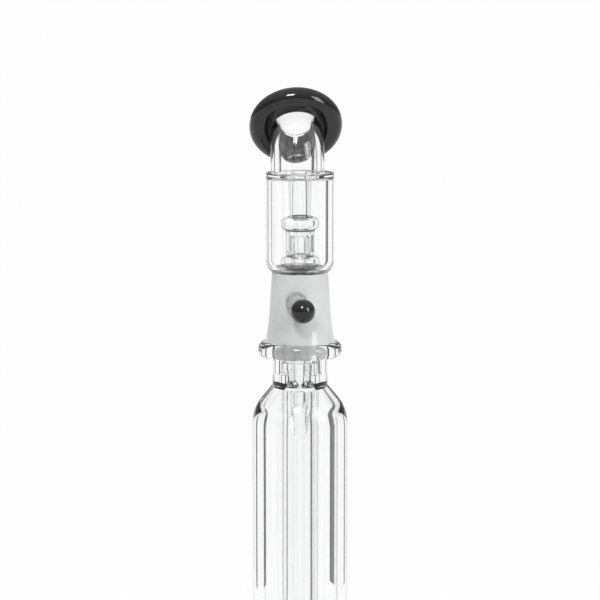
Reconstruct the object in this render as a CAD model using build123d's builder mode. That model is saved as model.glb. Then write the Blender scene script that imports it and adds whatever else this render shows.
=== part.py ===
from build123d import *

import os
from math import cos, radians, sin, tan

# Glass water pipe in two main units that meet in a ground neck joint, with a
# pull-out downstem and a bowl.  Millimetres.  The origin is the centre of the
# foot's underside, +Z runs up the body, the mouthpiece leans towards +Y and the
# stem leaves the body towards -Y.

# ---------------------------------------------------------------- driving sizes
# Foot
foot_radius = 46.0
foot_height = 10.0
foot_edge_height = 6.5
foot_edge_round = 2.0
foot_land = 2.0            # flat left outside the body tube

# Body tube and its shoulder
body_radius = 25.0
body_wall = 5.0
body_height = 235.0        # from the foot's top to the neck
shoulder_slope = 50.0      # outside cone, degrees above level
shoulder_round = 20.0
shoulder_bore_slope = 53.5
shoulder_bore_round = 8.0

# Neck joint, a ground taper of one in ten on diameter
taper = 1 / 20             # change of radius for each millimetre of length
joint_clearance = 0.08
cone_end_gap = 2.0         # free length past a stem or bowl cone's small end
neck_end_gap = 0.8         # free height over the neck cone
neck_cone_radius = 14.6    # at the big end
neck_cone_length = 42.0
neck_cone_wall = 3.0
neck_step = 0.15           # plain neck below the ground zone is this much smaller
sleeve_length = 15.0
sleeve_bore = 11.5
socket_waist_radius = 16.3
socket_waist_height = 19.0
socket_foot_radius = 18.0
socket_end_radius = 14.7   # where it meets the chamber's rounded foot
socket_round = 100.0
rim_radius = 21.9
rim_height = 8.0
rim_round = 3.4
ground_edge_round = 0.8

# Inner tube that hangs in the body, and the seal that carries it
inner_tube_radius = 9.75
inner_tube_wall = 2.25
inner_tube_length = 162.5
inner_tube_rise = 12.5     # above the shoulder's top
seal_height = 6.0
seal_skirt = 1.5           # how far its skirt runs out along the shoulder's bore
seal_drop = 3.5

# Upper chamber
chamber_radius = 17.8
chamber_wall = 2.4
chamber_height = 53.9
chamber_floor = 2.7
chamber_roof = 2.5
chamber_foot_round = 8.0
chamber_top_round = 1.0
chamber_roof_round = 1.5

# Riser, percolator and outlet inside the chamber
riser_radius = 5.0
riser_wall = 1.5
riser_drop = 45.5          # below the neck joint
riser_slant = 21.5         # height of the slanted drip tip
riser_top_gap = 2.7
foot_bead_radius = 10.3
bead_height = 8.2
bead_wall = 1.6
bead_round = 3.9
bead_bore_round = 2.3
cage_radius = 7.5
cage_wall = 1.4
cage_height = 12.3
cage_slots = 6
cage_slot_width = 3.3
cage_band = 1.6            # unbroken ring above and below the slots
outlet_bead_radius = 10.0
outlet_bore = 4.2
outlet_radius_low = 5.6
outlet_radius_high = 6.3
inlet_holes = 6
inlet_radius = 1.1

# Mouthpiece
mouth_radius = 14.1
mouth_wall = 4.1
mouth_rise = 6.0
mouth_bend_radius = 15.0
mouth_bend = 53.0          # degrees from upright
mouth_reach = 3.6          # from the bend to the ring's back
mouth_side = -1.3          # the neck was drawn a little to one side
mouth_edge_round = 1.6
mouth_bore_round = 2.2
lip_radius = 24.4
lip_thickness = 11.0
lip_round = 5.3

# Grip on the neck joint
grip_height = 30.0         # of the stud, above the joint's big end
grip_stud_radius = 5.7
grip_stud_side = -2.8
grip_stud_length = 2.4
grip_bead_radius = 6.35
grip_bead_drop = 3.4
grip_bead_reach = 6.8      # bead's centre, outside the socket's wall

# Stem branch on the body
stem_tilt = 45.0           # degrees from upright
stem_cross_height = 32.0   # where the stem's axis meets the body's axis
branch_radius = 11.75
branch_bore = 8.0
branch_length = 2.4        # plain tube left between the weld and the ground socket
stem_cone_length = 26.0
stem_rim_radius = 13.6
stem_rim_length = 5.0
stem_rim_round = 2.0
stem_rim_clearance = 0.35

# Downstem
downstem_radius = 6.25
downstem_wall = 1.75
downstem_length = 59.0     # below its ground cone
diffuser_slots = 6
diffuser_slot_width = 1.2
diffuser_slot_length = 18.0
collar_gap = 1.0
collar_radius = 11.5
collar_length = 4.0
collar_round = 1.8
bowl_socket_radius = 7.25
bowl_socket_length = 23.0

# Bowl
bowl_neck_length = 5.0
bowl_neck_bore = 4.0
bowl_radius = 14.0
bowl_depth = 24.0
bowl_wall = 3.0
bowl_round = 5.0
bowl_floor = 3.5
bowl_draught_radius = 2.0
bowl_shoulder = 9.0        # height over which the cup widens
bowl_cone_slope = 7.5      # height of the inner cone over its draught hole
bowl_lip_round = 1.3
bowl_stud_radius = 3.0
bowl_stud_length = 3.0
bowl_bead_radius = 5.0
bowl_grip_level = 14.0     # above the cup's base

# ---------------------------------------------------------------- worked-out levels
body_base = foot_height
shoulder_top = body_base + body_height
joint_base = shoulder_top + sleeve_length
cone_top = joint_base + neck_cone_length
chamber_base = cone_top + neck_end_gap
chamber_top = chamber_base + chamber_height
roof_under = chamber_top - chamber_roof
floor_over = chamber_base + chamber_floor
cage_base = floor_over + bead_height
cage_top = cage_base + cage_height
outlet_bead_top = cage_top + bead_height

sleeve_radius = neck_cone_radius - neck_step
body_bore = body_radius - body_wall
shoulder_base = shoulder_top - (body_radius - sleeve_radius) * tan(radians(shoulder_slope))
shoulder_bore_rise = tan(radians(shoulder_bore_slope))
shoulder_bore_base = shoulder_top - (body_bore - sleeve_bore) * shoulder_bore_rise
foot_round_reach = socket_end_radius - (chamber_radius - chamber_foot_round)
socket_top = chamber_base + chamber_foot_round - (chamber_foot_round**2 - foot_round_reach**2) ** 0.5


def neck_socket_bore(height):
    """Bore of the ground neck socket at a height above the joint's big end."""
    return neck_cone_radius + joint_clearance - height * taper


# Stem axis: distances along it are counted from where it crosses the body's axis
stem_origin = Vector(0, 0, stem_cross_height)
stem_way = Vector(0, -sin(radians(stem_tilt)), cos(radians(stem_tilt)))
weld_end = body_radius / sin(radians(stem_tilt)) + branch_radius / tan(radians(stem_tilt))
branch_end = weld_end + branch_length
stem_cone_end = branch_end + cone_end_gap
stem_rim_base = stem_cone_end + stem_cone_length
stem_rim_end = stem_rim_base + stem_rim_length
collar_base = stem_rim_end + collar_gap
collar_end = collar_base + collar_length
downstem_tip = stem_cone_end - downstem_length
bowl_socket_base = collar_end - bowl_socket_length
bowl_cone_end = bowl_socket_base + cone_end_gap
bowl_base = collar_end + bowl_neck_length
stem_socket_end_radius = branch_bore
stem_socket_radius = branch_bore + (stem_rim_base - branch_end) * taper

# Mouthpiece axis, from the end of the bend onwards
mouth_way = Vector(0, sin(radians(mouth_bend)), cos(radians(mouth_bend)))
bend_end = Vector(
    mouth_side,
    mouth_bend_radius * (1 - cos(radians(mouth_bend))),
    chamber_top + mouth_rise + mouth_bend_radius * sin(radians(mouth_bend)),
)
lip_origin = bend_end + mouth_way * mouth_reach


def spin_plane(origin, way):
    """Plane through an axis: its x is the distance from the axis, its y the distance along it."""
    return Plane(origin=origin, x_dir=(1, 0, 0), z_dir=(0, -way.Z, way.Y))


def turned_outline(plane, corners, rounds):
    """Closed outline of a turned piece from (radius, level) corners, with a rounding for each."""
    with BuildSketch(plane) as outline:
        with BuildLine():
            FilletPolyline(*corners, radius=rounds, close=True)
        make_face()
    return outline.sketch


upright = spin_plane(Vector(0, 0, 0), Vector(0, 0, 1))
stem_plane = spin_plane(stem_origin, stem_way)
stem_axis = Axis(stem_origin, stem_way)
lip_plane = spin_plane(lip_origin, mouth_way)
lip_axis = Axis(lip_origin, mouth_way)


def across_stem(level):
    """Plane square to the stem at a distance along it."""
    return Plane(origin=stem_origin + stem_way * level, x_dir=(1, 0, 0), z_dir=stem_way)


os.makedirs("parts", exist_ok=True)

# ---------------------------------------------------------------- lower unit
with BuildPart() as base_foot:
    foot_outline = turned_outline(
        upright,
        [
            (0, 0),
            (foot_radius, 0),
            (foot_radius, foot_edge_height),
            (body_radius + foot_land, foot_height),
            (0, foot_height),
        ],
        [0, foot_edge_round, foot_edge_round, foot_edge_round, 0],
    )
    revolve(foot_outline, axis=Axis.Z)
base_foot.part.label = "base_foot"
export_step(base_foot.part, "parts/base_foot.step")

with BuildPart() as body_shell:
    body_outline = turned_outline(
        upright,
        [
            (body_bore, body_base),
            (body_radius, body_base),
            (body_radius, shoulder_base),
            (sleeve_radius, shoulder_top),
            (sleeve_bore, shoulder_top),
            (body_bore, shoulder_bore_base),
        ],
        [0, 0, shoulder_round, 0, 0, shoulder_bore_round],
    )
    revolve(body_outline, axis=Axis.Z)
    with BuildSketch(across_stem(0)):
        Circle(branch_bore)
    extrude(amount=branch_end, mode=Mode.SUBTRACT)
body_shell.part.label = "body_shell"
export_step(body_shell.part, "parts/body_shell.step")

with BuildPart() as neck_sleeve:
    with BuildSketch(Plane.XY.offset(shoulder_top)):
        Circle(sleeve_radius)
        Circle(sleeve_bore, mode=Mode.SUBTRACT)
    extrude(amount=sleeve_length)
neck_sleeve.part.label = "neck_sleeve"
export_step(neck_sleeve.part, "parts/neck_sleeve.step")

with BuildPart() as joint_cone:
    cone_end_radius = neck_cone_radius - neck_cone_length * taper
    cone_outline = turned_outline(
        upright,
        [
            (sleeve_bore, joint_base),
            (neck_cone_radius, joint_base),
            (cone_end_radius, cone_top),
            (cone_end_radius - neck_cone_wall, cone_top),
        ],
        [0, 0, ground_edge_round, ground_edge_round],
    )
    revolve(cone_outline, axis=Axis.Z)
joint_cone.part.label = "joint_cone"
export_step(joint_cone.part, "parts/joint_cone.step")

with BuildPart() as ring_seal:
    seal_outline = turned_outline(
        upright,
        [
            (inner_tube_radius, shoulder_top + seal_height),
            (sleeve_bore, shoulder_top + seal_height),
            (sleeve_bore, shoulder_top),
            (sleeve_bore + seal_skirt, shoulder_top - seal_skirt * shoulder_bore_rise),
            (inner_tube_radius, shoulder_top - seal_drop),
        ],
        [0, 0, 0, 0, 0],
    )
    revolve(seal_outline, axis=Axis.Z)
ring_seal.part.label = "ring_seal"
export_step(ring_seal.part, "parts/ring_seal.step")

with BuildPart() as inner_tube:
    with BuildSketch(Plane.XY.offset(shoulder_top + inner_tube_rise - inner_tube_length)):
        Circle(inner_tube_radius)
        Circle(inner_tube_radius - inner_tube_wall, mode=Mode.SUBTRACT)
    extrude(amount=inner_tube_length)
inner_tube.part.label = "inner_tube"
export_step(inner_tube.part, "parts/inner_tube.step")

with BuildPart() as stem_branch:
    with BuildSketch(across_stem(0)):
        Circle(branch_radius)
        Circle(branch_bore, mode=Mode.SUBTRACT)
    extrude(amount=branch_end)
    with BuildSketch(Plane.XY.offset(body_base)):
        Circle(body_radius)
    extrude(amount=body_height, mode=Mode.SUBTRACT)
stem_branch.part.label = "stem_branch"
export_step(stem_branch.part, "parts/stem_branch.step")

with BuildPart() as stem_socket:
    socket_outline = turned_outline(
        stem_plane,
        [
            (stem_socket_end_radius, branch_end),
            (branch_radius, branch_end),
            (branch_radius, stem_rim_base),
            (stem_socket_radius, stem_rim_base),
        ],
        [0, 0, 0, 0],
    )
    revolve(socket_outline, axis=stem_axis)
stem_socket.part.label = "stem_socket"
export_step(stem_socket.part, "parts/stem_socket.step")

with BuildPart() as stem_rim:
    stem_rim_bore = stem_socket_radius + stem_rim_clearance
    stem_rim_outline = turned_outline(
        stem_plane,
        [
            (stem_rim_bore, stem_rim_base),
            (stem_rim_radius, stem_rim_base),
            (stem_rim_radius, stem_rim_end),
            (stem_rim_bore, stem_rim_end),
        ],
        [0, stem_rim_round / 2, stem_rim_round, ground_edge_round],
    )
    revolve(stem_rim_outline, axis=stem_axis)
stem_rim.part.label = "stem_rim"
export_step(stem_rim.part, "parts/stem_rim.step")

# ---------------------------------------------------------------- neck unit
with BuildPart() as joint_rim:
    rim_outline = turned_outline(
        upright,
        [
            (neck_socket_bore(0), joint_base),
            (rim_radius, joint_base),
            (rim_radius, joint_base + rim_height),
            (neck_socket_bore(rim_height), joint_base + rim_height),
        ],
        [0, rim_round, rim_round, 0],
    )
    revolve(rim_outline, axis=Axis.Z)
joint_rim.part.label = "joint_rim"
export_step(joint_rim.part, "parts/joint_rim.step")

with BuildPart() as joint_socket:
    neck_socket_outline = turned_outline(
        upright,
        [
            (neck_socket_bore(rim_height), joint_base + rim_height),
            (socket_foot_radius, joint_base + rim_height),
            (socket_waist_radius, joint_base + socket_waist_height),
            (socket_end_radius, socket_top),
            (neck_socket_bore(socket_top - joint_base), socket_top),
        ],
        [0, 0, socket_round, 0, 0],
    )
    revolve(neck_socket_outline, axis=Axis.Z)
    chamber_foot = turned_outline(
        upright,
        [(0, chamber_base), (chamber_radius, chamber_base), (chamber_radius, chamber_top), (0, chamber_top)],
        [0, chamber_foot_round, 0, 0],
    )
    revolve(chamber_foot, axis=Axis.Z, mode=Mode.SUBTRACT)
joint_socket.part.label = "joint_socket"
export_step(joint_socket.part, "parts/joint_socket.step")

# Outside radius of the neck socket at the level of the grip
grip_level = joint_base + grip_height
grip_share = (grip_height - socket_waist_height) / (socket_top - joint_base - socket_waist_height)
grip_wall_radius = socket_waist_radius + (socket_end_radius - socket_waist_radius) * grip_share

with BuildPart() as grip_stud:
    with BuildSketch(Plane.XZ):
        with Locations((grip_stud_side, grip_level)):
            Circle(grip_stud_radius)
    extrude(amount=grip_wall_radius + grip_stud_length)
    add(joint_socket.part, mode=Mode.SUBTRACT)
    with BuildSketch(Plane.XY.offset(joint_base)):
        Circle(neck_socket_bore(0))
    extrude(amount=chamber_base - joint_base, mode=Mode.SUBTRACT)
grip_stud.part.label = "grip_stud"
export_step(grip_stud.part, "parts/grip_stud.step")

with BuildPart() as grip_bead:
    with Locations((0, -grip_wall_radius - grip_bead_reach, grip_level - grip_bead_drop)):
        Sphere(grip_bead_radius)
    add(grip_stud.part, mode=Mode.SUBTRACT)
    add(joint_socket.part, mode=Mode.SUBTRACT)
grip_bead.part.label = "grip_bead"
export_step(grip_bead.part, "parts/grip_bead.step")

with BuildPart() as chamber_shell:
    chamber_bore = chamber_radius - chamber_wall
    chamber_outline = turned_outline(
        upright,
        [
            (riser_radius, chamber_base),
            (chamber_radius, chamber_base),
            (chamber_radius, chamber_top),
            (outlet_bore, chamber_top),
            (outlet_bore, roof_under),
            (chamber_bore, roof_under),
            (chamber_bore, floor_over),
            (riser_radius, floor_over),
        ],
        [
            0,
            chamber_foot_round,
            chamber_top_round,
            0,
            0,
            chamber_roof_round,
            chamber_foot_round - chamber_wall,
            0,
        ],
    )
    revolve(chamber_outline, axis=Axis.Z)
chamber_shell.part.label = "chamber_shell"
export_step(chamber_shell.part, "parts/chamber_shell.step")

with BuildPart() as riser_tube:
    riser_end = joint_base - riser_drop
    riser_bore = riser_radius - riser_wall
    with BuildSketch(Plane.XY.offset(riser_end)):
        Circle(riser_radius)
        Circle(riser_bore, mode=Mode.SUBTRACT)
    extrude(amount=cage_top - riser_top_gap - riser_end)
    with BuildSketch(Plane.YZ):
        with BuildLine():
            Polyline(
                (-riser_radius, riser_end),
                (riser_radius, riser_end),
                (-riser_radius, riser_end + riser_slant),
                close=True,
            )
        make_face()
    extrude(amount=riser_radius, both=True, mode=Mode.SUBTRACT)
riser_tube.part.label = "riser_tube"
export_step(riser_tube.part, "parts/riser_tube.step")

with BuildPart() as riser_foot:
    foot_bead_outline = turned_outline(
        upright,
        [
            (riser_radius, floor_over),
            (foot_bead_radius, floor_over),
            (foot_bead_radius, cage_base),
            (riser_radius, cage_base),
            (riser_radius, cage_base - bead_wall),
            (foot_bead_radius - bead_wall, cage_base - bead_wall),
            (foot_bead_radius - bead_wall, floor_over + bead_wall),
            (riser_radius, floor_over + bead_wall),
        ],
        [0, bead_round, bead_round, 0, 0, bead_bore_round, bead_bore_round, 0],
    )
    revolve(foot_bead_outline, axis=Axis.Z)
riser_foot.part.label = "riser_foot"
export_step(riser_foot.part, "parts/riser_foot.step")

with BuildPart() as perc_cage:
    with BuildSketch(Plane.XY.offset(cage_base)):
        Circle(cage_radius)
        Circle(cage_radius - cage_wall, mode=Mode.SUBTRACT)
    extrude(amount=cage_height)
    with BuildSketch(Plane.XY.offset(cage_base + cage_band)):
        with PolarLocations(cage_radius, cage_slots, start_angle=90):
            Rectangle(2 * cage_wall, cage_slot_width)
    extrude(amount=cage_height - 2 * cage_band, mode=Mode.SUBTRACT)
perc_cage.part.label = "perc_cage"
export_step(perc_cage.part, "parts/perc_cage.step")

with BuildPart() as outlet_bead:
    outlet_bead_outline = turned_outline(
        upright,
        [
            (0, cage_top),
            (outlet_bead_radius, cage_top),
            (outlet_bead_radius, outlet_bead_top),
            (outlet_bore, outlet_bead_top),
            (outlet_bore, outlet_bead_top - bead_wall),
            (outlet_bead_radius - bead_wall, outlet_bead_top - bead_wall),
            (outlet_bead_radius - bead_wall, cage_top + bead_wall),
            (0, cage_top + bead_wall),
        ],
        [0, bead_round, bead_round, 0, 0, bead_bore_round, bead_bore_round, 0],
    )
    revolve(outlet_bead_outline, axis=Axis.Z)
    inlet_level = cage_top + bead_height / 2
    with BuildSketch(Plane.XY.offset(inlet_level - inlet_radius)):
        with PolarLocations(outlet_bead_radius - bead_wall, inlet_holes):
            Rectangle(3 * bead_wall, 2 * inlet_radius)
    extrude(amount=2 * inlet_radius, mode=Mode.SUBTRACT)
outlet_bead.part.label = "outlet_bead"
export_step(outlet_bead.part, "parts/outlet_bead.step")

with BuildPart() as outlet_tube:
    outlet_outline = turned_outline(
        upright,
        [
            (outlet_bore, outlet_bead_top),
            (outlet_radius_low, outlet_bead_top),
            (outlet_radius_high, roof_under),
            (outlet_bore, roof_under),
        ],
        [0, 0, 0, 0],
    )
    revolve(outlet_outline, axis=Axis.Z)
outlet_tube.part.label = "outlet_tube"
export_step(outlet_tube.part, "parts/outlet_tube.step")

mouth_bore = mouth_radius - mouth_wall

with BuildPart() as mouthpiece_tube:
    with BuildLine(Plane.YZ.offset(mouth_side)):
        rise = Line((0, chamber_top), (0, chamber_top + mouth_rise))
        JernArc(start=rise @ 1, tangent=rise % 1, radius=mouth_bend_radius, arc_size=-mouth_bend)
    with BuildSketch(Plane.XY.offset(chamber_top)):
        with Locations((mouth_side, 0)):
            Circle(mouth_radius)
            Circle(mouth_bore, mode=Mode.SUBTRACT)
    sweep()
    mouth_end_outline = turned_outline(
        lip_plane,
        [
            (mouth_bore, -mouth_reach),
            (mouth_radius, -mouth_reach),
            (mouth_radius, lip_thickness),
            (mouth_bore, lip_thickness),
        ],
        [0, 0, mouth_edge_round, mouth_bore_round],
    )
    revolve(mouth_end_outline, axis=lip_axis)
mouthpiece_tube.part.label = "mouthpiece_tube"
export_step(mouthpiece_tube.part, "parts/mouthpiece_tube.step")

with BuildPart() as mouthpiece_lip:
    lip_outline = turned_outline(
        lip_plane,
        [(mouth_radius, 0), (lip_radius, 0), (lip_radius, lip_thickness), (mouth_radius, lip_thickness)],
        [0, lip_round, lip_round, mouth_edge_round],
    )
    revolve(lip_outline, axis=lip_axis)
mouthpiece_lip.part.label = "mouthpiece_lip"
export_step(mouthpiece_lip.part, "parts/mouthpiece_lip.step")

# ---------------------------------------------------------------- downstem
with BuildPart() as downstem_cone:
    downstem_bore = downstem_radius - downstem_wall
    stem_cone_radius = stem_socket_radius - joint_clearance
    bowl_socket_end_radius = bowl_socket_radius - bowl_socket_length * taper
    stem_cone_outline = turned_outline(
        stem_plane,
        [
            (downstem_bore, stem_cone_end),
            (stem_cone_radius - stem_cone_length * taper, stem_cone_end),
            (stem_cone_radius, stem_rim_base),
            (stem_cone_radius, collar_base),
            (collar_radius, collar_base),
            (collar_radius, collar_end),
            (bowl_socket_radius, collar_end),
            (bowl_socket_end_radius, bowl_socket_base),
            (downstem_bore, bowl_socket_base),
        ],
        [0, 0, 0, 0, collar_round, collar_round, 0, 0, 0],
    )
    revolve(stem_cone_outline, axis=stem_axis)
downstem_cone.part.label = "downstem_cone"
export_step(downstem_cone.part, "parts/downstem_cone.step")

with BuildPart() as downstem_tube:
    with BuildSketch(across_stem(downstem_tip)):
        Circle(downstem_radius)
        Circle(downstem_bore, mode=Mode.SUBTRACT)
    extrude(amount=downstem_length)
    with BuildSketch(across_stem(downstem_tip)):
        with PolarLocations(0, diffuser_slots // 2, angular_range=180):
            Rectangle(3 * downstem_radius, diffuser_slot_width)
    extrude(amount=diffuser_slot_length, mode=Mode.SUBTRACT)
downstem_tube.part.label = "downstem_tube"
export_step(downstem_tube.part, "parts/downstem_tube.step")

# ---------------------------------------------------------------- bowl
with BuildPart() as bowl_cone:
    bowl_cone_radius = bowl_socket_radius - joint_clearance
    bowl_cone_end_radius = bowl_cone_radius - (collar_end - bowl_cone_end) * taper
    bowl_cone_outline = turned_outline(
        stem_plane,
        [
            (bowl_neck_bore, bowl_cone_end),
            (bowl_cone_end_radius, bowl_cone_end),
            (bowl_cone_radius, collar_end),
            (bowl_cone_radius, bowl_base),
            (bowl_neck_bore, bowl_base),
        ],
        [0, 0, 0, 0, 0],
    )
    revolve(bowl_cone_outline, axis=stem_axis)
bowl_cone.part.label = "bowl_cone"
export_step(bowl_cone.part, "parts/bowl_cone.step")

with BuildPart() as bowl_cup:
    bowl_bore = bowl_radius - bowl_wall
    bowl_top = bowl_base + bowl_depth
    bowl_outline = turned_outline(
        stem_plane,
        [
            (bowl_draught_radius, bowl_base),
            (bowl_cone_radius, bowl_base),
            (bowl_radius, bowl_base + bowl_shoulder),
            (bowl_radius, bowl_top),
            (bowl_bore, bowl_top),
            (bowl_bore, bowl_base + bowl_floor + bowl_cone_slope),
            (bowl_draught_radius, bowl_base + bowl_floor),
        ],
        [0, 0, bowl_round, bowl_lip_round, bowl_lip_round, bowl_round, 0],
    )
    revolve(bowl_outline, axis=stem_axis)
bowl_cup.part.label = "bowl_cup"
export_step(bowl_cup.part, "parts/bowl_cup.step")

bowl_grip_point = stem_origin + stem_way * (bowl_base + bowl_grip_level)
bowl_grip_plane = Plane(origin=bowl_grip_point, x_dir=stem_way, z_dir=(1, 0, 0))

with BuildPart() as bowl_stud:
    with BuildSketch(bowl_grip_plane):
        Circle(bowl_stud_radius)
    extrude(amount=bowl_radius + bowl_stud_length)
    with BuildSketch(across_stem(bowl_base)):
        Circle(bowl_radius)
    extrude(amount=bowl_depth, mode=Mode.SUBTRACT)
bowl_stud.part.label = "bowl_stud"
export_step(bowl_stud.part, "parts/bowl_stud.step")

with BuildPart() as bowl_bead:
    bowl_bead_side = bowl_radius + bowl_bead_radius + bowl_stud_length / 2
    with Locations(bowl_grip_point + Vector(bowl_bead_side, 0, 0)):
        Sphere(bowl_bead_radius)
    add(bowl_stud.part, mode=Mode.SUBTRACT)
bowl_bead.part.label = "bowl_bead"
export_step(bowl_bead.part, "parts/bowl_bead.step")
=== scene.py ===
from math import cos, pi, radians, sin, tan

import bmesh
import bpy
import numpy as np
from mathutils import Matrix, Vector


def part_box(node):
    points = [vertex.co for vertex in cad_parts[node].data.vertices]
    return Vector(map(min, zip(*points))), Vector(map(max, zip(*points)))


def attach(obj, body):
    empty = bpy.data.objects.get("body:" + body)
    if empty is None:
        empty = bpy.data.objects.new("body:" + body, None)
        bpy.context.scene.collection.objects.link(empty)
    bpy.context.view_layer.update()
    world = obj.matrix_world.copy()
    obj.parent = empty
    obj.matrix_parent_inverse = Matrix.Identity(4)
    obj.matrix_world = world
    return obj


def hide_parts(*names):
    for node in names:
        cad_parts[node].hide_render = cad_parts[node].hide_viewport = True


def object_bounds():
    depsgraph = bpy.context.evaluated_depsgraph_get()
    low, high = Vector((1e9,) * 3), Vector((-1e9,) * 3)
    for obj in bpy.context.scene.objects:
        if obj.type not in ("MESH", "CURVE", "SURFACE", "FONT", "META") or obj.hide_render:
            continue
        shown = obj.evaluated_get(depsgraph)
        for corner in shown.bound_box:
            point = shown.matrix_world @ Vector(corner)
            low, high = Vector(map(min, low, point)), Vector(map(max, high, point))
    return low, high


# Glass water pipe.  Lengths here are millimetres, and become metres as a mesh is made.
MM = 0.001
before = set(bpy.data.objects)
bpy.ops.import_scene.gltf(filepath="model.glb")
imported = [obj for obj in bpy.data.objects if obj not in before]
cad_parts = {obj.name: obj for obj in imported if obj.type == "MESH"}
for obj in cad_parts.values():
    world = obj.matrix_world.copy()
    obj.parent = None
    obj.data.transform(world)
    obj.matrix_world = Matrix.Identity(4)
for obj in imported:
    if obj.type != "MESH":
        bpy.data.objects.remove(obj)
cad_low, cad_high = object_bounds()

ROUND_STEP = radians(10)       # turn between two points of a rounded corner
TURNS = 112                    # steps round a large turned piece
SHARP = radians(33)            # edges sharper than this keep a crease
X_AXIS = np.array([1.0, 0.0, 0.0])


def box_mm(node):
    """Lowest and highest corner of a CAD node in millimetres."""
    low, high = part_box(node)
    return np.array(low) / MM, np.array(high) / MM


# ---------------------------------------------------------------- axes
def straight_axis(origin, way):
    """Axis along a line: a level is the distance from origin, and 'across' is square to it and to X."""
    origin, way = np.array(origin, float), np.array(way, float)
    across = np.cross(way, X_AXIS)

    def at(level):
        return origin + level[..., None] * way, np.broadcast_to(across, level.shape + (3,))

    return at


def bent_axis(side, base, rise, radius, turn):
    """Axis that rises, turns towards +Y on an arc of that radius and runs on straight.

    Along the arc the level over the radius is the angle, and past it the line keeps the last direction.
    """
    def at(level):
        angle = np.clip((level - rise) / radius, 0, turn)
        up = np.minimum(level, rise)
        past = np.maximum(level - rise - radius * turn, 0)
        y = radius * (1 - np.cos(angle)) + past * sin(turn)
        z = base + up + radius * np.sin(angle) + past * cos(turn)
        zero = np.zeros_like(level)
        centre = np.stack([zero + side, y, z], -1)
        across = np.stack([zero, np.cos(angle), -np.sin(angle)], -1)
        return centre, across

    return at


upright = straight_axis((0, 0, 0), (0, 0, 1))


# ---------------------------------------------------------------- shapes
def rounded_outline(corners, rounds):
    """Closed outline of (radius, level) points, with the number of the side that each span lies on.

    A rounded corner is an arc tangent to both sides.  Its centre lies on the corner's bisector, at
    the rounding over the sine of half the corner's angle, and the arc turns through the rest of a half turn.
    """
    corners = np.array(corners, float)
    count = len(corners)
    points, sides = [], []
    for i in range(count):
        corner = corners[i]
        back = corners[i - 1] - corner
        ahead = corners[(i + 1) % count] - corner
        if rounds[i] == 0:
            points.append(corner)
            sides.append(i)
            continue
        back, ahead = back / np.linalg.norm(back), ahead / np.linalg.norm(ahead)
        half = np.arccos(np.clip(back @ ahead, -1, 1)) / 2
        middle = (back + ahead) / np.linalg.norm(back + ahead)
        centre = corner + middle * rounds[i] / sin(half)
        start = corner + back * rounds[i] / tan(half) - centre
        turn = pi - 2 * half
        left = back[0] * ahead[1] - back[1] * ahead[0] < 0
        steps = max(2, int(np.ceil(turn / ROUND_STEP)))
        for k in range(steps + 1):
            angle = turn * k / steps * (1 if left else -1)
            spin = np.array([[cos(angle), -sin(angle)], [sin(angle), cos(angle)]])
            points.append(centre + spin @ start)
            sides.append(i if k == steps else -1)
    return np.array(points), sides


def spun_surface(points, axis, turns, trim=None):
    """Grid of points round an axis: centre(level) + radius * (cos angle * X + sin angle * across(level)).

    trim, where given, moves each level by its radius and angle.
    """
    radius = points[:, 0][:, None]
    level = np.repeat(points[:, 1][:, None], turns, 1)
    angle = np.linspace(0, 2 * pi, turns, endpoint=False)[None, :]
    if trim is not None:
        level = trim(radius, angle, level)
    centre, across = axis(level)
    along_x = (radius * np.cos(angle))[..., None] * X_AXIS
    return centre + along_x + (radius * np.sin(angle))[..., None] * across


def grid_quads(rows, columns):
    """Quads of a grid that closes on itself both ways, facing out where the outline runs anticlockwise."""
    i, j = np.meshgrid(np.arange(rows), np.arange(columns), indexing="ij")
    i2, j2 = (i + 1) % rows, (j + 1) % columns
    quads = np.stack([i * columns + j, i * columns + j2, i2 * columns + j2, i2 * columns + j], -1)
    return quads.reshape(-1, 4)


def outline_area(points):
    """Signed area of a closed outline, positive where it runs anticlockwise."""
    r, z = points[:, 0], points[:, 1]
    return 0.5 * np.sum(r * np.roll(z, -1) - np.roll(r, -1) * z)


def finish_piece(node, xyz, quads, seam, material, body):
    """Mesh object from points in millimetres, riding on its body and standing for its CAD node."""
    name = node + "_glass"
    mesh = bpy.data.meshes.new(name)
    mesh.from_pydata((xyz.reshape(-1, 3) * MM).tolist(), [], quads.tolist())
    mesh.materials.append(material)
    mesh.materials.append(fused_seam)
    mesh.polygons.foreach_set("material_index", np.asarray(seam, np.int32))
    mesh.polygons.foreach_set("use_smooth", np.ones(len(quads), bool))
    edit = bmesh.new()
    edit.from_mesh(mesh)
    bmesh.ops.remove_doubles(edit, verts=edit.verts, dist=1e-7)
    bmesh.ops.dissolve_degenerate(edit, edges=edit.edges, dist=1e-8)
    edit.to_mesh(mesh)
    edit.free()
    mesh.set_sharp_from_angle(angle=SHARP)
    piece = bpy.data.objects.new(name, mesh)
    bpy.context.scene.collection.objects.link(piece)
    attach(piece, body)
    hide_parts(node)
    return piece


def turned(node, corners, rounds, material, body, seams=(), axis=upright,
           turns=TURNS, trim=None):
    """Turned piece for a CAD node.  The sides named in seams are welded to a neighbour."""
    points, sides = rounded_outline(corners, rounds)
    xyz = spun_surface(points, axis, turns, trim)
    quads = grid_quads(len(points), turns)
    if outline_area(points) < 0:
        quads = quads[:, ::-1]
    seam = np.repeat(np.isin(sides, list(seams)), turns)
    return finish_piece(node, xyz, quads, seam, material, body)


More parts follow.
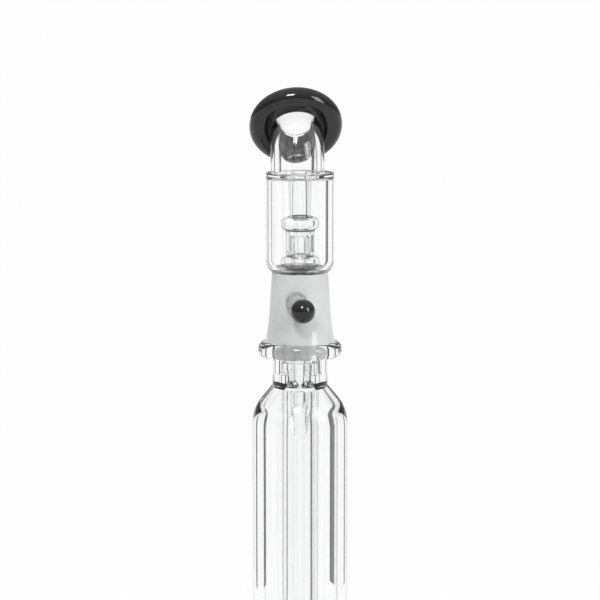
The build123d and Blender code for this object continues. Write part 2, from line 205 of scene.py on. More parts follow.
def punched_tube(node, axis, inner, outer, levels, angles, solid, material, body, seam_levels=(),
                 fine=5):
    """Tube with openings, from cells in angle and level.

    solid[i][j] says whether the cell between angles i, i + 1 and levels j, j + 1 is glass.  Each solid
    cell gives its inner and outer face, and a side face wherever the next cell is open.
    """
    count, rows = len(angles), len(levels) - 1
    edges = [np.linspace(angles[i], (angles + (angles[0] + 2 * pi,))[i + 1], fine + 1) for i in range(count)]
    corners, quads, seam = [], [], []

    def patch(radii, a, b, flip, welded=False):
        """One strip of quads between (radius, level) a and b over the angles in radii."""
        base = len(corners)
        for angle in radii:
            corners.extend([(a[0], angle, a[1]), (b[0], angle, b[1])])
        for k in range(len(radii) - 1):
            q = [base + 2 * k, base + 2 * k + 2, base + 2 * k + 3, base + 2 * k + 1]
            quads.append(q[::-1] if flip else q)
            seam.append(welded)

    def side(angle, j, flip):
        """End face of a cell, at one angle."""
        base = len(corners)
        low, high = levels[j], levels[j + 1]
        corners.extend([(inner, angle, low), (outer, angle, low), (outer, angle, high), (inner, angle, high)])
        q = [base, base + 1, base + 2, base + 3]
        quads.append(q[::-1] if flip else q)
        seam.append(False)

    for i in range(count):
        for j in range(rows):
            if not solid[i][j]:
                continue
            low, high = levels[j], levels[j + 1]
            patch(edges[i], (outer, low), (outer, high), False)
            patch(edges[i], (inner, low), (inner, high), True)
            if j == 0 or not solid[i][j - 1]:
                patch(edges[i], (inner, low), (outer, low), False, low in seam_levels)
            if j == rows - 1 or not solid[i][j + 1]:
                patch(edges[i], (inner, high), (outer, high), True, high in seam_levels)
            if not solid[i - 1][j]:
                side(edges[i][0], j, False)
            if not solid[(i + 1) % count][j]:
                side(edges[i][-1], j, True)
    radius, angle, level = (np.array(c) for c in zip(*corners))
    centre, across = axis(level)
    xyz = centre + (radius * np.cos(angle))[:, None] * X_AXIS + (radius * np.sin(angle))[:, None] * across
    return finish_piece(node, xyz, np.array(quads), seam, material, body)


def turned_about_x(node, origin, corners, rounds, material, body):
    """Turned piece about +X: origin + level * X + radius * (cos angle * Y + sin angle * Z)."""
    points = rounded_outline(corners, rounds)[0]
    angle = np.linspace(0, 2 * pi, 56, endpoint=False)
    radius, level = points[:, 0][:, None], points[:, 1][:, None]
    xyz = np.stack([level + 0 * angle, radius * np.cos(angle), radius * np.sin(angle)], -1) + origin
    quads = grid_quads(len(points), len(angle))
    if outline_area(points) < 0:
        quads = quads[:, ::-1]
    return finish_piece(node, xyz, quads, np.zeros(len(quads)), material, body)


def ball_outline(radius, level=0.0, steps=24):
    """Half circle whose turning makes a ball: radius * sin a out, level - radius * cos a along the axis."""
    turns = [pi * k / steps for k in range(steps + 1)]
    return [(radius * sin(a), level - radius * cos(a)) for a in turns]


# ---------------------------------------------------------------- materials
def new_material(name):
    """Material with an empty node tree, its nodes, its links and an output."""
    material = bpy.data.materials.new(name)
    material.use_nodes = True
    nodes, links = material.node_tree.nodes, material.node_tree.links
    nodes.clear()
    return material, nodes, links, nodes.new("ShaderNodeOutputMaterial")


def object_noise(nodes, links, scale, detail=3.0, stretch=(1, 1, 1)):
    """Noise over Object coordinates, stretched along an axis where stretch is small there."""
    where = nodes.new("ShaderNodeTexCoord")
    mapping = nodes.new("ShaderNodeMapping")
    mapping.inputs["Scale"].default_value = stretch
    noise = nodes.new("ShaderNodeTexNoise")
    noise.inputs["Scale"].default_value = scale
    noise.inputs["Detail"].default_value = detail
    links.new(where.outputs["Object"], mapping.inputs["Vector"])
    links.new(mapping.outputs["Vector"], noise.inputs["Vector"])
    return noise


def colour_between(nodes, links, factor, low, high, start=0.3, end=0.7):
    """Colour that runs from low to high as factor goes from start to end."""
    ramp = nodes.new("ShaderNodeValToRGB")
    ramp.color_ramp.elements[0].position = start
    ramp.color_ramp.elements[0].color = (*low, 1)
    ramp.color_ramp.elements[1].position = end
    ramp.color_ramp.elements[1].color = (*high, 1)
    links.new(factor, ramp.inputs["Fac"])
    return ramp.outputs["Color"]


def bump(nodes, links, height, distance, strength=1.0):
    """Bump from a height, with its depth in metres."""
    node = nodes.new("ShaderNodeBump")
    node.inputs["Distance"].default_value = distance
    node.inputs["Strength"].default_value = strength
    links.new(height, node.inputs["Height"])
    return node.outputs["Normal"]


def clear_glass_material(name, low, high):
    """Polished clear glass: faint drawn streaks in its surface and a very slight tint."""
    material, nodes, links, output = new_material(name)
    shader = nodes.new("ShaderNodeBsdfPrincipled")
    streaks = object_noise(nodes, links, 55.0, 2.0, (1, 1, 0.12))
    links.new(colour_between(nodes, links, streaks.outputs["Fac"], low, high), shader.inputs["Base Color"])
    links.new(bump(nodes, links, streaks.outputs["Fac"], 0.00006, 0.5), shader.inputs["Normal"])
    shader.inputs["Roughness"].default_value = 0.0
    shader.inputs["IOR"].default_value = 1.47
    shader.inputs["Transmission Weight"].default_value = 1.0
    links.new(shader.outputs["BSDF"], output.inputs["Surface"])
    return material


def frosted_glass_material(name, low, high, clear_share):
    """Ground glass: fine grain in its colour, and a milky body under a smooth skin."""
    material, nodes, links, output = new_material(name)
    shader = nodes.new("ShaderNodeBsdfPrincipled")
    cloud = object_noise(nodes, links, 90.0, 5.0, (1, 1, 0.5))
    grain = object_noise(nodes, links, 2600.0, 2.0)
    links.new(colour_between(nodes, links, cloud.outputs["Fac"], low, high), shader.inputs["Base Color"])
    links.new(bump(nodes, links, grain.outputs["Fac"], 0.00004, 0.6), shader.inputs["Normal"])
    shader.inputs["Roughness"].default_value = 0.5
    shader.inputs["IOR"].default_value = 1.47
    shader.inputs["Transmission Weight"].default_value = clear_share
    shader.inputs["Coat Weight"].default_value = 0.7
    shader.inputs["Coat Roughness"].default_value = 0.05
    links.new(shader.outputs["BSDF"], output.inputs["Surface"])
    return material


def black_glass_material():
    """Glossy black glass with a faint orange-peel in its fire-polished skin."""
    material, nodes, links, output = new_material("black_glass_polished")
    shader = nodes.new("ShaderNodeBsdfPrincipled")
    swirl = object_noise(nodes, links, 70.0, 3.0)
    colour = colour_between(nodes, links, swirl.outputs["Fac"], (0.003, 0.003, 0.004), (0.011, 0.011, 0.012))
    links.new(colour, shader.inputs["Base Color"])
    links.new(bump(nodes, links, swirl.outputs["Fac"], 0.00008, 0.5), shader.inputs["Normal"])
    shader.inputs["Roughness"].default_value = 0.045
    shader.inputs["IOR"].default_value = 1.5
    links.new(shader.outputs["BSDF"], output.inputs["Surface"])
    return material


def fused_seam_material():
    """Inside a weld there is no surface, so light goes straight on."""
    material, nodes, links, output = new_material("fused_seam")
    shader = nodes.new("ShaderNodeBsdfTransparent")
    links.new(shader.outputs["BSDF"], output.inputs["Surface"])
    return material


fused_seam = fused_seam_material()
clear = clear_glass_material("clear_glass_drawn", (0.975, 0.98, 0.98), (1.0, 1.0, 1.0))
thin = clear_glass_material("clear_glass_blown", (0.985, 0.99, 0.99), (1.0, 1.0, 1.0))
frosted = frosted_glass_material("frosted_glass_ground", (0.70, 0.71, 0.71), (0.86, 0.87, 0.87), 0.35)
frosted_male = frosted_glass_material("frosted_glass_cone", (0.74, 0.75, 0.75), (0.88, 0.89, 0.89), 0.5)
black = black_glass_material()

# ---------------------------------------------------------------- levels and radii from the frame
foot_high = box_mm("base_foot")[1]
body_low, body_high = box_mm("body_shell")
sleeve_low, sleeve_high = box_mm("neck_sleeve")
cone_high = box_mm("joint_cone")[1]
inner_low, inner_high = box_mm("inner_tube")
seal_low, seal_high = box_mm("ring_seal")
rim_low, rim_high = box_mm("joint_rim")
socket_high = box_mm("joint_socket")[1]
chamber_low, chamber_high = box_mm("chamber_shell")
riser_low, riser_high = box_mm("riser_tube")
foot_bead_low, foot_bead_high = box_mm("riser_foot")
cage_low, cage_high = box_mm("perc_cage")
outlet_bead_high = box_mm("outlet_bead")[1]
outlet_low, outlet_high = box_mm("outlet_tube")
downstem_high = box_mm("downstem_tube")[1]

foot_edge_height, foot_edge_round, foot_land, foot_land_round = 6.5, 2.0, 2.0, 1.5
body_radius, body_wall = body_high[0], 5.0
body_bore = body_radius - body_wall
shoulder_top, joint_base, cone_top = sleeve_low[2], sleeve_high[2], cone_high[2]
sleeve_radius, sleeve_bore = sleeve_high[0], 11.5
shoulder_slope, shoulder_bore_slope = radians(50.0), radians(53.5)
shoulder_round, shoulder_bore_round = 20.0, 8.0
shoulder_base = shoulder_top - (body_radius - sleeve_radius) * tan(shoulder_slope)
shoulder_bore_base = shoulder_top - (body_bore - sleeve_bore) * tan(shoulder_bore_slope)
seal_edge = shoulder_top - (seal_high[0] - sleeve_bore) * tan(shoulder_bore_slope)
taper, joint_clearance = 1 / 20, 0.08
neck_cone_wall, cone_end_round = 3.0, 0.8
inner_tube_wall, inner_tube_round = 2.25, 0.8
chamber_base, chamber_top = chamber_low[2], chamber_high[2]
chamber_radius, chamber_wall = chamber_high[0], 2.4
chamber_bore = chamber_radius - chamber_wall
chamber_foot_round, chamber_top_round, chamber_roof_round = 8.0, 1.0, 1.5
foot_round_start = chamber_radius - chamber_foot_round
socket_end_radius = 14.7
riser_radius, riser_bore = riser_high[0], riser_high[0] - 1.5
floor_over, cage_base, cage_top = foot_bead_low[2], cage_low[2], cage_high[2]
cage_bore, cage_band = cage_high[0] - 1.4, 1.6
bead_wall, bead_round, outlet_bead_round, bead_bore_round = 1.6, 3.9, 3.8, 2.3
roof_under, outlet_bore, outlet_radius_low = outlet_high[2], 4.2, 5.6
mouth_low, mouth_high = box_mm("mouthpiece_tube")
mouth_radius = (mouth_high[0] - mouth_low[0]) / 2
mouth_bore = mouth_radius - 4.1
mouth_rise, mouth_bend_radius, mouth_bend, mouth_reach = 6.0, 15.0, radians(53.0), 3.6
mouth_side = -1.3

# ---------------------------------------------------------------- lower unit
turned("base_foot",
       [(0, 0), (foot_high[0], 0), (foot_high[0], foot_edge_height), (body_radius + foot_land, foot_high[2]),
        (body_radius, foot_high[2]), (body_bore, foot_high[2]), (0, foot_high[2])],
       [0, foot_edge_round, foot_edge_round, foot_land_round, 0, 0, 0], clear, "lower_unit", seams=(4,))
turned(
    "body_shell",
    [(body_bore, body_low[2]), (body_radius, body_low[2]), (body_radius, shoulder_base),
     (sleeve_radius, shoulder_top), (sleeve_bore, shoulder_top), (seal_high[0], seal_edge),
     (body_bore, shoulder_bore_base)],
    [0, 0, shoulder_round, 0, 0, 0, shoulder_bore_round], clear, "lower_unit", seams=(0, 3, 4))
turned("neck_sleeve",
       [(sleeve_bore, shoulder_top), (sleeve_radius, shoulder_top), (sleeve_radius, joint_base),
        (sleeve_bore, joint_base), (sleeve_bore, seal_high[2])],
       [0, 0, 0, 0, 0], clear, "lower_unit", seams=(0, 2, 4))
cone_end_radius = cone_high[0] - (cone_top - joint_base) * taper
turned("joint_cone",
       [(sleeve_bore, joint_base), (cone_high[0], joint_base), (cone_end_radius, cone_top),
        (cone_end_radius - neck_cone_wall, cone_top)],
       [0, 0, cone_end_round, cone_end_round], frosted_male, "lower_unit", seams=(0,))
turned("ring_seal",
       [(inner_high[0], seal_high[2]), (sleeve_bore, seal_high[2]), (sleeve_bore, shoulder_top),
        (seal_high[0], seal_edge), (inner_high[0], seal_low[2])],
       [0, 0, 0, 0, 0], clear, "lower_unit", seams=(1, 2, 4))
inner_bore = inner_high[0] - inner_tube_wall
turned("inner_tube",
       [(inner_bore, inner_low[2]), (inner_high[0], inner_low[2]), (inner_high[0], seal_low[2]),
        (inner_high[0], seal_high[2]), (inner_high[0], inner_high[2]), (inner_bore, inner_high[2])],
       [inner_tube_round, inner_tube_round, 0, 0, inner_tube_round, inner_tube_round], clear, "lower_unit",
       seams=(2,))

# ---------------------------------------------------------------- stem parts of the lower unit
stem_tilt = radians(45.0)
stem_way = np.array([0, -sin(stem_tilt), cos(stem_tilt)])
stem_origin = np.array([0, 0, 32.0])       # where the stem crosses the body's axis
stem_axis = straight_axis(stem_origin, stem_way)


def stem_level(node, radius, end):
    """Distance along the stem of a turned node's flat end, from the node's box and the end's radius."""
    low, high = box_mm(node)
    edge = (high if end > 0 else low)[2] - end * radius * sin(stem_tilt)
    return (edge - stem_origin[2]) / cos(stem_tilt)


branch_radius, branch_bore = box_mm("stem_branch")[1][0], 8.0
branch_end = stem_level("stem_socket", branch_radius, -1)
stem_rim_base = stem_level("stem_socket", branch_radius, 1)
stem_rim_radius, stem_rim_length, stem_rim_clearance = 13.6, 5.0, 0.35
stem_rim_end = stem_rim_base + stem_rim_length
stem_socket_radius = branch_bore + (stem_rim_base - branch_end) * taper
stem_rim_bore = stem_socket_radius + stem_rim_clearance


def stand_on_body(radius, angle, level):
    """Levels at the branch's foot, where each line along the stem comes out of the body tube.

    A line at that angle leaves a cylinder of the body's radius where x squared and y squared add up to
    its square, which gives the distance along the tilted stem.
    """
    depth = np.sqrt(body_radius ** 2 - (radius * np.cos(angle)) ** 2)
    foot = (radius * np.sin(angle) * sin(stem_tilt) + depth) / sin(stem_tilt)
    return np.where(level < branch_end - 1e-6, foot, level)


turned("stem_branch",
       [(branch_bore, 0), (branch_radius, 0), (branch_radius, branch_end), (branch_bore, branch_end)],
       [0, 0, 0, 0], clear, "lower_unit", seams=(0, 2), axis=stem_axis, trim=stand_on_body)
turned("stem_socket",
       [(branch_bore, branch_end), (branch_radius, branch_end), (branch_radius, stem_rim_base),
        (stem_rim_bore, stem_rim_base), (stem_socket_radius, stem_rim_base)],
       [0, 0, 0, 0, 0], frosted, "lower_unit", seams=(0, 2), axis=stem_axis)
turned("stem_rim",
       [(stem_rim_bore, stem_rim_base), (branch_radius, stem_rim_base), (stem_rim_radius, stem_rim_base),
        (stem_rim_radius, stem_rim_end), (stem_rim_bore, stem_rim_end)],
       [0, 0, 1, 2, 0.8], clear, "lower_unit", seams=(0,), axis=stem_axis)

# ---------------------------------------------------------------- neck unit
def socket_bore(height):
    """Bore of the neck socket above the joint's big end."""
    return cone_high[0] + joint_clearance - height * taper


rim_height, rim_round = rim_high[2] - rim_low[2], 3.4
turned("joint_rim",
       [(socket_bore(0), joint_base), (rim_high[0], joint_base), (rim_high[0], rim_high[2]),
        (socket_high[0], rim_high[2]), (socket_bore(rim_height), rim_high[2])],
       [0, rim_round, rim_round, 0, 0], clear, "neck_unit", seams=(3,))


def chamber_foot_level(radius):
    """Underside of the chamber: level near the axis, then an arc up to its wall."""
    reach = np.maximum(radius - foot_round_start, 0)
    return chamber_base + chamber_foot_round - np.sqrt(chamber_foot_round ** 2 - reach ** 2)


socket_waist_radius, socket_waist_height, socket_round = 16.3, 19.0, 100.0
socket_top = float(chamber_foot_level(socket_end_radius))
socket_end_bore = socket_bore(socket_top - joint_base)
weld_radii = np.linspace(socket_end_radius, socket_end_bore, 5)
weld_line = [(r, float(chamber_foot_level(r))) for r in weld_radii]
turned("joint_socket",
       [(socket_bore(rim_height), rim_high[2]), (socket_high[0], rim_high[2]),
        (socket_waist_radius, joint_base + socket_waist_height)] + weld_line,
       [0, 0, socket_round] + [0] * len(weld_line), frosted, "neck_unit",
       seams=[0] + list(range(3, 2 + len(weld_line))))

# The chamber's foot arc, from its flat out to the wall, with the socket's weld as part of it
arc_turns = np.linspace(0, pi / 2, 15)[1:-1]
foot_arc = [(foot_round_start + chamber_foot_round * sin(a),
             chamber_base + chamber_foot_round * (1 - cos(a))) for a in arc_turns]
inner_arc = [point for point in foot_arc if point[0] < socket_end_bore]
outer_arc = [point for point in foot_arc if point[0] > socket_end_radius]
foot_corners = ([(riser_radius, chamber_base), (foot_round_start, chamber_base)] + inner_arc
                + weld_line[::-1] + outer_arc)
chamber_weld = range(2 + len(inner_arc), 1 + len(inner_arc) + len(weld_line))
after_foot = len(foot_corners)
turned("chamber_shell",
       foot_corners
       + [(chamber_radius, chamber_base + chamber_foot_round), (chamber_radius, chamber_top),
          (mouth_radius + mouth_side, chamber_top), (mouth_bore + mouth_side, chamber_top),
          (outlet_bore, chamber_top), (outlet_bore, roof_under), (outlet_high[0], roof_under),
          (chamber_bore, roof_under), (chamber_bore, floor_over), (riser_radius, floor_over)],
       [0] * (after_foot + 1)
       + [chamber_top_round, 0, 0, 0, 0, 0, chamber_roof_round, chamber_foot_round - chamber_wall, 0],
       thin, "neck_unit",
       seams=list(chamber_weld) + [after_foot + 2, after_foot + 5, after_foot + 9])
turned("outlet_tube",
       [(outlet_bore, outlet_low[2]), (outlet_radius_low, outlet_low[2]), (outlet_high[0], roof_under),
        (outlet_bore, roof_under)],
       [0, 0, 0, 0], thin, "neck_unit", seams=(0, 2), turns=72)
outlet_bead_radius, outlet_bead_under_roof = outlet_bead_high[1], outlet_low[2] - bead_wall
turned("outlet_bead",
       [(0, cage_top), (cage_bore, cage_top), (outlet_bead_radius, cage_top),
        (outlet_bead_radius, outlet_low[2]), (outlet_radius_low, outlet_low[2]), (outlet_bore, outlet_low[2]),
        (outlet_bore, outlet_bead_under_roof), (outlet_bead_radius - bead_wall, outlet_bead_under_roof),
        (outlet_bead_radius - bead_wall, cage_top + bead_wall), (0, cage_top + bead_wall)],
       [0, 0, outlet_bead_round, outlet_bead_round, 0, 0, 0, bead_bore_round, bead_bore_round, 0], thin,
       "neck_unit", seams=(4,), turns=72)
turned("riser_foot",
       [(riser_radius, floor_over), (foot_bead_high[0], floor_over), (foot_bead_high[0], cage_base),
        (riser_radius, cage_base), (riser_radius, cage_base - bead_wall),
        (foot_bead_high[0] - bead_wall, cage_base - bead_wall),
        (foot_bead_high[0] - bead_wall, floor_over + bead_wall), (riser_radius, floor_over + bead_wall)],
       [0, bead_round, bead_round, 0, 0, bead_bore_round, bead_bore_round, 0], thin, "neck_unit",
       seams=(3, 7), turns=72)

slot_width, slot_count = 3.3, 6
slot_half = slot_width / 2 / cage_high[0]
slot_angles = tuple(
    angle for k in range(slot_count)
    for angle in (pi / 2 + k * pi / 3 - slot_half, pi / 2 + k * pi / 3 + slot_half)
)
cage_levels = (cage_base, cage_base + cage_band, cage_top - cage_band, cage_top)
cage_cells = [[True, i % 2 == 1, True] for i in range(2 * slot_count)]
punched_tube("perc_cage", upright, cage_bore, cage_high[0], cage_levels, slot_angles, cage_cells,
             thin, "neck_unit", seam_levels=(cage_base, cage_top))

tip_slant, riser_top_round = 21.5, 0.7


def slanted_tip(radius, angle, level):
    """Levels at the riser's lower end, on a plane that rises from its +Y side to its -Y side."""
    rise = tip_slant * (riser_radius - radius * np.sin(angle)) / (2 * riser_radius)
    return np.where(level < riser_low[2] + 1e-3, riser_low[2] + rise, level)


turned("riser_tube",
       [(riser_bore, riser_low[2]), (riser_radius, riser_low[2]), (riser_radius, chamber_base),
        (riser_radius, floor_over), (riser_radius, floor_over + bead_wall),
        (riser_radius, cage_base - bead_wall), (riser_radius, cage_base), (riser_radius, riser_high[2]),
        (riser_bore, riser_high[2])],
       [0, 0, 0, 0, 0, 0, 0, riser_top_round, riser_top_round], thin, "neck_unit",
       seams=(2, 3, 5), turns=72, trim=slanted_tip)

# Mouthpiece: the tube follows its bend, and the ring stands square to its end
mouth_axis = bent_axis(mouth_side, chamber_top, mouth_rise, mouth_bend_radius, mouth_bend)
bend_length = mouth_bend_radius * mouth_bend
ring_back = mouth_rise + bend_length + mouth_reach
lip_low, lip_high = box_mm("mouthpiece_lip")
lip_radius, lip_thickness = (lip_high[0] - lip_low[0]) / 2, 11.0
lip_round, mouth_edge_round, mouth_bore_round = 5.3, 1.6, 2.2
mouth_end, bend_steps = ring_back + lip_thickness, 24
bend_levels = [0, mouth_rise, ring_back]
bend_levels[2:2] = [mouth_rise + bend_length * k / bend_steps for k in range(1, bend_steps + 1)]
tube_outline = ([(mouth_bore, mouth_end)] + [(mouth_bore, t) for t in bend_levels[::-1]]
                + [(mouth_radius, t) for t in bend_levels] + [(mouth_radius, mouth_end)])
turned("mouthpiece_tube", tube_outline,
       [mouth_bore_round] + [0] * (len(tube_outline) - 2) + [mouth_edge_round], clear, "neck_unit",
       seams=(len(bend_levels), len(tube_outline) - 2), axis=mouth_axis)
lip_origin = mouth_axis(np.array(ring_back))[0]
lip_axis = straight_axis(lip_origin, (0, sin(mouth_bend), cos(mouth_bend)))
turned("mouthpiece_lip",
       [(mouth_radius, 0), (lip_radius, 0), (lip_radius, lip_thickness), (mouth_radius, lip_thickness)],
       [0, lip_round, lip_round, mouth_edge_round], black, "neck_unit", axis=lip_axis)

# Grip: a clear stud on the socket with a black bead melted onto it
stud_low, stud_high = box_mm("grip_stud")
stud_centre = (stud_low + stud_high) / 2
stud_radius = (stud_high[0] - stud_low[0]) / 2
grip_axis = straight_axis((stud_centre[0], 0, stud_centre[2]), (0, -1, 0))
stud_end, stud_depth, stud_round = -stud_low[1], 4.5, 1.2
stud_root = stud_end - stud_depth
turned("grip_stud",
       [(0, stud_root), (stud_radius, stud_root), (stud_radius, stud_end), (0, stud_end)],
       [0, 0, stud_round, 0], clear, "neck_unit", axis=grip_axis, turns=64)
bead_low, bead_high = box_mm("grip_bead")
bead_radius = (bead_high[0] - bead_low[0]) / 2
bead_centre = (bead_low + bead_high) / 2
bead_centre[1] = bead_low[1] + bead_radius
bead_axis = straight_axis(bead_centre, (0, -1, 0))
bead_outline = ball_outline(bead_radius)
turned("grip_bead", bead_outline, [0] * len(bead_outline), black, "neck_unit",
       axis=bead_axis, turns=64)

# ---------------------------------------------------------------- downstem and bowl
cone_end_gap = 2.0
stem_cone_end = branch_end + cone_end_gap
stem_cone_radius = stem_socket_radius - joint_clearance
downstem_radius, downstem_wall, downstem_length = downstem_high[0], 1.75, 59.0
downstem_bore = downstem_radius - downstem_wall
collar_gap, collar_length, collar_round = 1.0, 4.0, 1.8
collar_base = stem_rim_end + collar_gap
collar_end, collar_radius = collar_base + collar_length, box_mm("downstem_cone")[1][0]
bowl_socket_radius, bowl_socket_length = 7.25, 23.0
bowl_socket_base = collar_end - bowl_socket_length
turned("downstem_cone",
       [(downstem_bore, stem_cone_end), (downstem_radius, stem_cone_end),
        (stem_cone_radius - (stem_rim_base - stem_cone_end) * taper, stem_cone_end),
        (stem_cone_radius, stem_rim_base), (stem_cone_radius, collar_base), (collar_radius, collar_base),
        (collar_radius, collar_end), (bowl_socket_radius, collar_end),
        (bowl_socket_radius - bowl_socket_length * taper, bowl_socket_base),
        (downstem_bore, bowl_socket_base)],
       [0, 0, 0, 0, 0, collar_round, collar_round, 0, 0, 0], frosted_male, "downstem",
       seams=(0,), axis=stem_axis)

tip_level = stem_cone_end - downstem_length
diffuser_width, diffuser_length = 1.2, 18.0
diffuser_half = diffuser_width / 2 / downstem_radius
diffuser_angles = tuple(
    angle for k in range(slot_count) for angle in (k * pi / 3 - diffuser_half, k * pi / 3 + diffuser_half)
)
diffuser_cells = [[i % 2 == 1, True] for i in range(2 * slot_count)]
punched_tube("downstem_tube", stem_axis, downstem_bore, downstem_radius,
             (tip_level, tip_level + diffuser_length, stem_cone_end), diffuser_angles, diffuser_cells, clear,
             "downstem", seam_levels=(stem_cone_end,))

bowl_neck_length, bowl_neck_bore, bowl_depth, bowl_draught = 5.0, 4.0, 24.0, 2.0
bowl_shoulder, bowl_floor, bowl_cone_slope, bowl_round, bowl_lip_round = 9.0, 3.5, 7.5, 5.0, 1.3
bowl_cone_end, bowl_base = bowl_socket_base + cone_end_gap, collar_end + bowl_neck_length
bowl_cone_radius = bowl_socket_radius - joint_clearance
bowl_radius, bowl_wall, bowl_top = box_mm("bowl_cup")[1][0], 3.0, bowl_base + bowl_depth
bowl_bore = bowl_radius - bowl_wall
turned("bowl_cone",
       [(bowl_neck_bore, bowl_cone_end),
        (bowl_cone_radius - (collar_end - bowl_cone_end) * taper, bowl_cone_end),
        (bowl_cone_radius, collar_end), (bowl_cone_radius, bowl_base), (bowl_neck_bore, bowl_base)],
       [0, 0, 0, 0, 0], frosted_male, "bowl", seams=(3,), axis=stem_axis, turns=72)
turned("bowl_cup",
       [(bowl_draught, bowl_base), (bowl_neck_bore, bowl_base), (bowl_cone_radius, bowl_base),
        (bowl_radius, bowl_base + bowl_shoulder), (bowl_radius, bowl_top), (bowl_bore, bowl_top),
        (bowl_bore, bowl_base + bowl_floor + bowl_cone_slope), (bowl_draught, bowl_base + bowl_floor)],
       [0, 0, 0, bowl_round, bowl_lip_round, bowl_lip_round, bowl_round, 0], clear, "bowl", seams=(1,),
       axis=stem_axis)

# The bowl's stud and bead lie along X, so their outlines are spun about X
bowl_grip_level, bowl_stud_radius, bowl_stud_length, bowl_stud_round = 14.0, 3.0, 3.0, 0.6
bowl_bead_radius, bowl_stud_sink, bowl_bead_reach = 5.0, 0.4, 6.5
bowl_grip = stem_origin + stem_way * (bowl_base + bowl_grip_level)
stud_foot, stud_top = bowl_radius - bowl_stud_sink, bowl_radius + bowl_stud_length
turned_about_x("bowl_stud", bowl_grip,
               [(0, stud_foot), (bowl_stud_radius, stud_foot), (bowl_stud_radius, stud_top), (0, stud_top)],
               [0, 0, bowl_stud_round, 0], clear, "bowl")
small_outline = ball_outline(bowl_bead_radius, bowl_radius + bowl_bead_reach)
turned_about_x("bowl_bead", bowl_grip, small_outline, [0] * len(small_outline), black, "bowl")

# ---------------------------------------------------------------- stage
def stage_plane(name, corners, material):
    """Flat four-cornered stage object, with corners in metres."""
    mesh = bpy.data.meshes.new(name)
    mesh.from_pydata(corners, [], [(0, 1, 2, 3)])
    mesh.materials.append(material)
    thing = bpy.data.objects.new(name, mesh)
    bpy.context.scene.collection.objects.link(thing)
    return thing


def white_for_camera(nodes, links, surface, output, share):
    """Mixes a plain white into a surface wherever the camera, a reflection or glass looks at it."""
    path = nodes.new("ShaderNodeLightPath")
    seen = nodes.new("ShaderNodeMath")
    seen.operation = "MAXIMUM"
    seen_all = nodes.new("ShaderNodeMath")
    seen_all.operation = "MAXIMUM"
    amount = nodes.new("ShaderNodeMath")
    amount.operation = "MULTIPLY"
    amount.inputs[1].default_value = share
    white = nodes.new("ShaderNodeEmission")
    mix = nodes.new("ShaderNodeMixShader")
    links.new(path.outputs["Is Camera Ray"], seen.inputs[0])
    links.new(path.outputs["Is Transmission Ray"], seen.inputs[1])
    links.new(seen.outputs[0], seen_all.inputs[0])
    links.new(path.outputs["Is Glossy Ray"], seen_all.inputs[1])
    links.new(seen_all.outputs[0], amount.inputs[0])
    links.new(amount.outputs[0], mix.inputs["Fac"])
    links.new(surface, mix.inputs[1])
    links.new(white.outputs["Emission"], mix.inputs[2])
    links.new(mix.outputs["Shader"], output.inputs["Surface"])


def floor_material():
    """Matt white table top with faint mottling, white to the eye and still taking shadows."""
    material, nodes, links, output = new_material("floor_white")
    shader = nodes.new("ShaderNodeBsdfDiffuse")
    noise = object_noise(nodes, links, 3.0)
    mottle = colour_between(nodes, links, noise.outputs["Fac"], (0.86,) * 3, (0.9,) * 3)
    links.new(mottle, shader.inputs["Color"])
    white_for_camera(nodes, links, shader.outputs["BSDF"], output, 0.97)
    return material


def card_material(name, shade):
    """Dark studio card that gives the glass its edges."""
    material, nodes, links, output = new_material(name)
    shader = nodes.new("ShaderNodeEmission")
    shader.inputs["Color"].default_value = (shade, shade, shade, 1)
    links.new(shader.outputs["Emission"], output.inputs["Surface"])
    return material


FLOOR = 60.0                   # half the floor's side, in metres
stage_plane("floor", [(-FLOOR, -FLOOR, 0), (FLOOR, -FLOOR, 0), (FLOOR, FLOOR, 0), (-FLOOR, FLOOR, 0)],
            floor_material())

# Dark cards stand in a ring round the object, one in each gap between the eight main directions.  They
# are seen only through glass, where they draw the dark lines along its edges.
CARD_RING, CARD_HALF, CARD_HEIGHT, CARDS = 0.62, radians(4.5), 1.6, 8
for k in range(CARDS):
    middle = radians(22.5 + 45 * k)
    ends = [CARD_RING * Vector((sin(a), -cos(a), 0)) for a in (middle - CARD_HALF, middle + CARD_HALF)]
    lift = Vector((0, 0, CARD_HEIGHT))
    base = Vector((0, 0, 0.001))
    shade = 0.0 if sin(middle) < 0 else 0.05
    card = stage_plane(f"card_{k}", [ends[0] + base, ends[1] + base, ends[1] + lift, ends[0] + lift],
                       card_material(f"card_{k}_dark", shade))
    card.visible_camera = False
    card.visible_diffuse = False
    card.visible_shadow = False
    card.visible_glossy = False


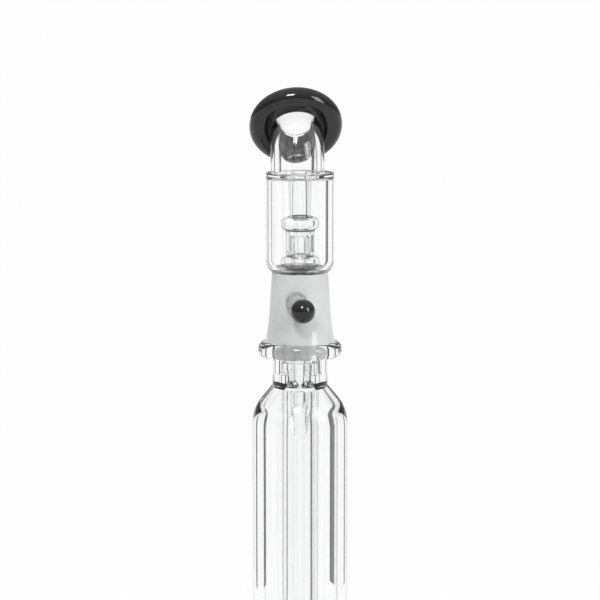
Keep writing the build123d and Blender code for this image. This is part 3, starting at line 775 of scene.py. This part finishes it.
def lit_world():
    """Even pale surroundings: plain white to the eye and through glass, dimmer as a light."""
    world = bpy.data.worlds.new("studio")
    world.use_nodes = True
    nodes, links = world.node_tree.nodes, world.node_tree.links
    nodes.clear()
    output = nodes.new("ShaderNodeOutputWorld")
    path = nodes.new("ShaderNodeLightPath")
    seen = nodes.new("ShaderNodeMath")
    seen.operation = "MAXIMUM"
    links.new(path.outputs["Is Camera Ray"], seen.inputs[0])
    links.new(path.outputs["Is Transmission Ray"], seen.inputs[1])
    glow, plain, mix = (nodes.new(kind) for kind in
                        ("ShaderNodeBackground", "ShaderNodeBackground", "ShaderNodeMixShader"))
    glow.inputs["Color"].default_value = (1, 1, 1, 1)
    where = nodes.new("ShaderNodeTexCoord")
    split = nodes.new("ShaderNodeSeparateXYZ")
    links.new(where.outputs["Generated"], split.inputs["Vector"])
    links.new(colour_between(nodes, links, split.outputs["Z"], (0.42, 0.42, 0.43), (1, 1, 1), 0.15, 0.85),
              plain.inputs["Color"])
    plain.inputs["Strength"].default_value = 0.8
    links.new(seen.outputs[0], mix.inputs["Fac"])
    links.new(plain.outputs["Background"], mix.inputs[1])
    links.new(glow.outputs["Background"], mix.inputs[2])
    links.new(mix.outputs["Shader"], output.inputs["Surface"])
    bpy.context.scene.world = world


def soft_lamp(name, where, aim, width, height, power):
    """Rectangular lamp at a place, facing a point."""
    data = bpy.data.lights.new(name, "AREA")
    data.shape = "RECTANGLE"
    data.size, data.size_y, data.energy = width, height, power
    lamp = bpy.data.objects.new(name, data)
    lamp.location = where
    lamp.rotation_euler = (Vector(aim) - Vector(where)).to_track_quat("-Z", "Y").to_euler()
    bpy.context.scene.collection.objects.link(lamp)
    return lamp


lit_world()
middle_of_object = (cad_low + cad_high) / 2
soft_lamp("window_lamp", (-0.25, -0.9, 1.25), middle_of_object, 0.35, 0.35, 9)
soft_lamp("side_lamp", (1.0, -0.9, 0.8), middle_of_object, 0.5, 0.8, 8)

# Camera: a little to the left of the object's front, above it and looking slightly down
CAMERA_AZIMUTH, CAMERA_DISTANCE, CAMERA_HEIGHT = radians(-4.0), 1.5, chamber_top * MM + 0.131
AIM_HEIGHT = chamber_top * MM - 0.0671
camera_data = bpy.data.cameras.new("camera")
camera_data.lens = 173.4
camera = bpy.data.objects.new("camera", camera_data)
camera.location = (sin(CAMERA_AZIMUTH) * CAMERA_DISTANCE, -cos(CAMERA_AZIMUTH) * CAMERA_DISTANCE,
                   CAMERA_HEIGHT)
look = Vector((0, 0, AIM_HEIGHT)) - camera.location
camera.rotation_euler = look.to_track_quat("-Z", "Y").to_euler()
bpy.context.scene.collection.objects.link(camera)

scene = bpy.context.scene
scene.camera = camera
scene.view_settings.view_transform = "Standard"
scene.cycles.max_bounces = 40
scene.cycles.transmission_bounces = 40
scene.cycles.transparent_max_bounces = 60
